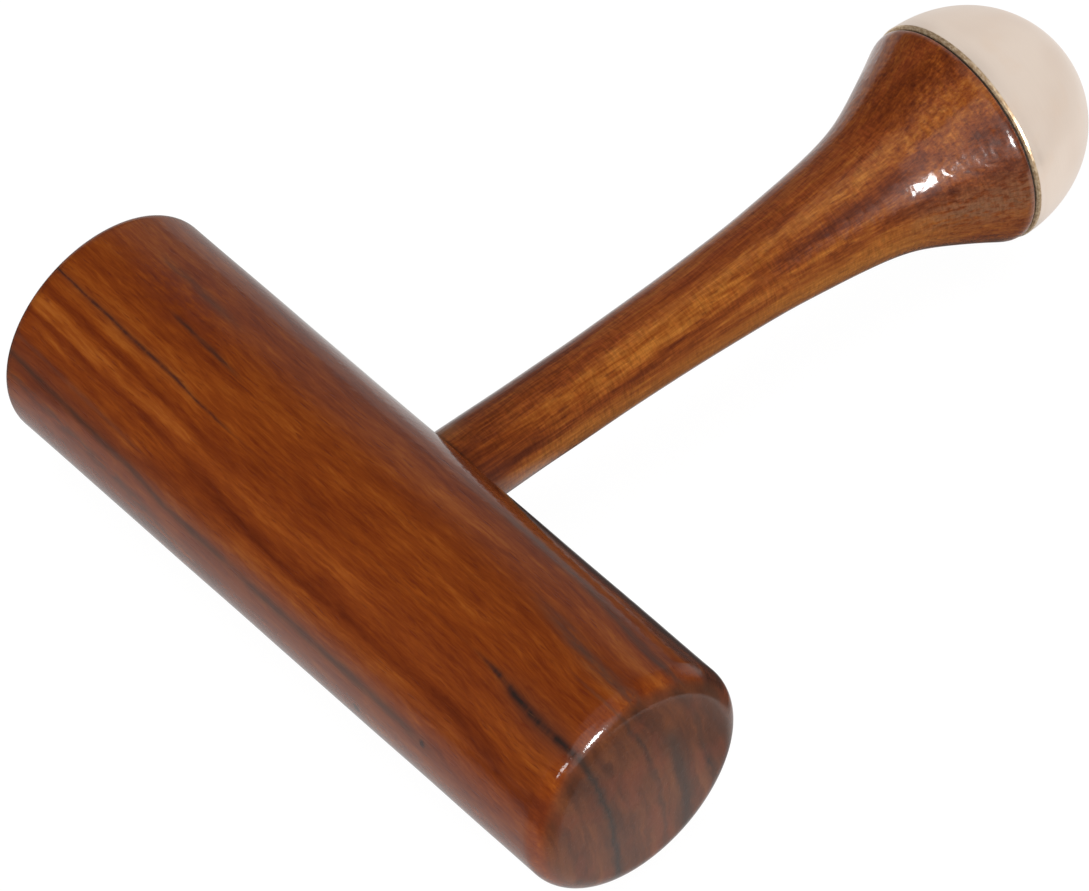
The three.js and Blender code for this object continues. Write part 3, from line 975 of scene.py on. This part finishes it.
def bronze_material():
    made = new_material("polished_bronze")
    point = millimetres()
    x, y, z = split(point)
    radius = distance_from_axis(x, z)
    angle = calc("ARCTAN2", z, x)
    tone = noise(point, scale=0.055)
    blush = noise(point, distortion=0.2, scale=0.16)
    # lathe and buffing marks run round the axis
    lines = noise((radius, y, angle), (5.0, 5.0, 1.6), detail=3.0, rough=0.6)
    swirl = noise((x, y, z), (0.5, 4.0, 0.5), rough=0.6)
    fine = noise(point, detail=1.0, scale=4.0)
    colour = mix(rise(tone, 0.35, 0.65), (243, 227, 213), (237, 219, 204))
    colour = mix(rise(blush, 0.55, 0.75) * 0.25, colour, (240, 216, 195))
    colour = scaled(colour, 0.975 + lines * 0.05)

    # yellower lip, with painted glints in its colour, and its roughness varied by the same noise
    lip = rise(y, DOME_BASE + 0.78, DOME_BASE + 0.60)
    painted_glint_and_polish = noise((angle, y, 1.0), (24.0, 2.0, None), detail=3.0, rough=0.65)
    lip_colour = mix(rise(painted_glint_and_polish, 0.38, 0.66), (186, 146, 98), (238, 212, 172))
    colour = mix(lip * 0.85, colour, lip_colour)

    inside = dome_inside(y, radius)
    colour = mix(inside * 0.7, colour, (150, 112, 76))
    rough = 0.27 + lines * 0.05 + swirl * 0.03
    rough = lerp(lip, rough, 0.26 + painted_glint_and_polish * 0.14)
    rough = lerp(inside, rough, 0.48)
    height = lines * 0.04 + swirl * 0.05 + fine * 0.05 + inside * fine * 2.0
    surface({"Base Color": colour, "Metallic": lerp(lip, 1.0, 0.72), "Roughness": rough,
             "Normal": bump(height, distance=0.00002)})
    return made


def compound_material():
    made = new_material("black_compound")
    point = millimetres()
    lumps = noise(point, detail=3.0, rough=0.6, scale=1.6)
    fine = noise(point, scale=6.0)
    surface({"Base Color": mix(lumps, (22, 17, 15), (44, 34, 29)),
             "Roughness": 0.42 + fine * 0.25, "Specular IOR Level": 0.35,
             "Normal": bump(lumps + fine * 0.4, distance=0.00008)})
    return made


def steel_material():
    made = new_material("zinc_steel")
    point = millimetres()
    cloud = noise(point, scale=0.5)
    turning = noise(split(point), (0.6, 6.0, 0.6), rough=0.6)
    surface({"Base Color": mix(cloud, (176, 178, 182), (206, 206, 202)), "Metallic": 1.0,
             "Roughness": 0.24 + turning * 0.22, "Normal": bump(turning, distance=0.00003)})
    return made


# ---------------------------------------------------------------- pieces

# (mesh builder, CAD piece, slot name, material builder)
PIECES = [
    (build_head, "mallet_head", "head_wood", head_material),
    (build_handle, "handle", "handle_wood", handle_material),
    (build_wedge, "fox_wedge", "wedge_wood", wedge_material),
    (build_dome, "dome_cap", "bronze", bronze_material),
    (build_ring, "bedding_ring", "bedding_compound", compound_material),
    (build_bolt, "dome_stud", "stud_steel", steel_material),
]
for build, cad_name, slot_name, paint in PIECES:
    piece = build()
    piece.data.materials.clear()
    piece.data.materials.append(paint())
    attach(piece, "root")
    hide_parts(cad_name)


# ---------------------------------------------------------------- floor (metres)

def mirrored_strength(x, y, ray_length):
    """Brightness the lacquer and the bronze mirror: a white sheet fading out away from them."""
    beside = (rise(x, cad_high.x + 0.030, cad_high.x + 0.003, before=0.16)
              * rise(x, cad_low.x - 0.034, cad_low.x - 0.004, before=0.12))
    before_head = (rise(y, cad_low.y - 0.115, cad_low.y - 0.012)
                   * rise(y, cad_low.y + 0.040, cad_low.y + 0.062, before=1.0, after=0.0))
    head_sheet = (beside * before_head
                  * rise(x, cad_high.x - 0.01, cad_high.x + 0.004, before=0.53, after=0.60))
    dome_sheet = rise(y, 0.064, 0.080) * rise(ray_length, 0.135, 0.115) * 0.88

    # the rest of the floor on the +Y side, in three strips from +X to -X
    strip_plus_x = rise(y, -0.030, -0.018, before=0.66, after=0.07)
    strip_middle = (rise(y, -0.022, 0.002, before=0.13, after=0.60)
                    * rise(y, 0.03, 0.06, before=1.0, after=0.60)
                    * rise(ray_length, 0.047, 0.036, before=0.12))
    strips = lerp(rise(x, 0.007, -0.008), strip_plus_x, strip_middle)
    strips = lerp(rise(x, -0.006, -0.040), strips, 0.70)
    handle_sheet = (rise(y, cad_low.y + 0.04, cad_low.y + 0.07, before=0.15) * strips
                    * rise(x, -0.110, -0.055, before=0.55))
    return calc("MAXIMUM", calc("MAXIMUM", head_sheet, dome_sheet), handle_sheet)


def floor_material():
    """Nearly white to the camera, plain to diffuse light, and a shaped sheet to mirrors."""
    made = new_material("pale_floor")
    path = add_node("ShaderNodeLightPath")
    x, y, _ = split(Value(add_node("ShaderNodeNewGeometry"), "Position"))
    diffuse = Value(add_node("ShaderNodeBsdfDiffuse", {"Color": (0.80, 0.79, 0.785, 1)}))
    glow = emission((1, 1, 1), strength=1.04)
    seen = mix_shader(Value(path, "Is Camera Ray") * 0.93, diffuse, glow)
    sheet = emission((1.0, 0.99, 0.98), mirrored_strength(x, y, Value(path, "Ray Length")))
    output(mix_shader(Value(path, "Is Glossy Ray"), seen, sheet))
    return made


def build_floor():
    half, level = 6.0, -0.0002
    mesh = bpy.data.meshes.new("floor")
    mesh.from_pydata([(-half, -half, level), (half, -half, level), (half, half, level),
                      (-half, half, level)], [], [(0, 1, 2, 3)])
    floor = link_object("floor", mesh)
    mesh.materials.append(floor_material())


build_floor()


# ---------------------------------------------------------------- reflector cards (metres)

def add_card(name, corners, strength, reach):
    """A white reflector seen only by mirrors closer than reach, so only the bronze shows it."""
    mesh = bpy.data.meshes.new(name)
    mesh.from_pydata(corners, [], [tuple(range(len(corners)))])
    card = link_object(name, mesh)
    made = new_material(name + "_white")
    ray_length = Value(add_node("ShaderNodeLightPath"), "Ray Length")
    _, y, _ = split(Value(add_node("ShaderNodeNewGeometry"), "Position"))
    near = rise(ray_length, reach, reach * 0.88) * rise(y, 0.072, 0.092)
    clear = Value(add_node("ShaderNodeBsdfTransparent"))
    output(mix_shader(near, clear, emission((1.0, 0.985, 0.97), strength)))
    mesh.materials.append(made)
    for ray in ("camera", "diffuse", "shadow", "transmission", "volume_scatter"):
        setattr(card, "visible_" + ray, False)


CARD_X0, CARD_X1, CARD_Z = -0.15, 0.24, 0.13
OVER_Y0, OVER_Y1, END_Y = cad_high.y + 0.008, cad_high.y + 0.07, cad_high.y + 0.05
SIDE_X, SIDE_Y0, SIDE_Y1, SIDE_Z = -0.048, 0.030, 0.215, 0.17
add_card("card_over", [(CARD_X0, OVER_Y0, CARD_Z), (CARD_X1, OVER_Y0, CARD_Z),
                       (CARD_X1, OVER_Y1, CARD_Z), (CARD_X0, OVER_Y1, CARD_Z)],
         strength=0.83, reach=0.18)
add_card("card_end", [(CARD_X0, END_Y, 0.0), (CARD_X1, END_Y, 0.0),
                      (CARD_X1, END_Y, CARD_Z), (CARD_X0, END_Y, CARD_Z)],
         strength=0.82, reach=0.215)
add_card("card_side", [(SIDE_X, SIDE_Y0, 0.0), (SIDE_X, SIDE_Y1, 0.0),
                       (SIDE_X, SIDE_Y1, SIDE_Z), (SIDE_X, SIDE_Y0, SIDE_Z)],
         strength=0.81, reach=0.135)


# ---------------------------------------------------------------- world

def build_world():
    """Dim studio with a few brighter areas; almost white to the camera."""
    world = bpy.data.worlds.new("studio")
    bpy.context.scene.world = world
    world.use_nodes = True
    open_tree(world.node_tree)
    place = Value(add_node("ShaderNodeTexCoord"), "Generated")
    direction = vector_math("NORMALIZE", (place,))
    x, y, z = split(direction)

    def towards(target, start, end):
        return rise(vector_math("DOT_PRODUCT", (direction, target), "Value"), start, end)

    wall = rise(y, 0.55, 0.80) * rise(x, -0.46, -0.30)
    side = rise(x, -0.66, -0.76) * rise(y, 0.10, 0.40)
    behind_camera = towards((0.53, -0.42, 0.74), 0.94, 0.985)
    halo = towards((0.926, -0.171, 0.332), 0.88, 0.99)
    haze = (rise(z, 0.80, 0.48) * rise(y, 0.10, 0.40) * rise(x, -0.10, -0.40)
            * rise(x, -0.75, -0.60))
    sheen = (rise(x, -0.38, -0.12) * rise(y, -0.55, -0.25) * rise(y, 0.34, 0.15)
             * rise(z, 0.2, 0.5))
    # base level, then each area times its brightness
    level = (0.045 + haze * 0.17 + sheen * 0.28 + wall * 0.10 + side * 0.08
             + behind_camera * 0.75 + halo * 1.0)
    level = lerp(Value(add_node("ShaderNodeLightPath"), "Is Camera Ray"), level, 0.985)
    background = add_node("ShaderNodeBackground",
                          {"Color": (1.0, 0.995, 0.99, 1), "Strength": level})
    output(Value(background), "ShaderNodeOutputWorld")


build_world()


# ---------------------------------------------------------------- lights and camera

def add_softbox(name, direction, distance, wide, high, level, mirrored):
    """level is the light it gives a white surface facing it, 1 being white."""
    light = bpy.data.lights.new(name, "AREA")
    light.shape = "RECTANGLE"
    light.size, light.size_y = wide, high
    light.energy = level * math.pi ** 2 * distance ** 2
    softbox = link_object(name, light)
    outward = Vector(direction).normalized()
    softbox.location = (cad_low + cad_high) / 2 + outward * distance
    softbox.rotation_mode = "QUATERNION"
    softbox.rotation_quaternion = (-outward).to_track_quat("-Z", "Y")
    softbox.visible_camera = False
    softbox.visible_glossy = mirrored


# (name, direction from the mallet's middle, distance, width, height, level, mirrored)
SOFTBOXES = (
    ("side_light", (0.92, -0.17, 0.33), 1.2, 0.22, 0.20, 0.60, True),
    ("edge_light", (0.62, -0.70, 0.34), 1.2, 0.30, 0.12, 0.09, True),
    ("low_light", (0.0, -0.98, 0.15), 1.5, 0.90, 0.60, 0.08, False),
    ("top_light", (-0.10, 0.00, 0.95), 1.5, 1.30, 1.30, 0.54, False),
    ("front_light", (-0.30, -0.80, 0.48), 1.5, 0.90, 0.90, 0.45, False),
    ("back_light", (-0.30, 0.80, 0.40), 1.5, 0.90, 0.90, 0.20, False))
for entry in SOFTBOXES:
    add_softbox(*entry)

# the camera's own axes, and its place in millimetres from ORIGIN
CAMERA_RIGHT = (0.650009644623801, 0.7581773658080487, -0.05152226579266117)
CAMERA_UP = (-0.5500874762082395, 0.5162167498310192, 0.6564480449454844)
CAMERA_BACK = (0.5243007060980287, -0.3983558072505874, 0.7526097397820747)
CAMERA_AT = (858.59476827, -610.90020452, 1224.32711681)

scene = bpy.context.scene
lens = bpy.data.cameras.new("camera")
camera = link_object("camera", lens)
lens.sensor_width = 36.0
lens.lens = 314.189
lens.clip_start, lens.clip_end = 0.05, 60.0
pose = Matrix((CAMERA_RIGHT, CAMERA_UP, CAMERA_BACK)).transposed().to_4x4()
pose.translation = Vector(((ORIGIN + CAMERA_AT) / 1000).tolist())
camera.matrix_world = pose
scene.camera = camera
scene.view_settings.view_transform = "Standard"
scene.view_settings.look = "None"

bpy.context.view_layer.update()
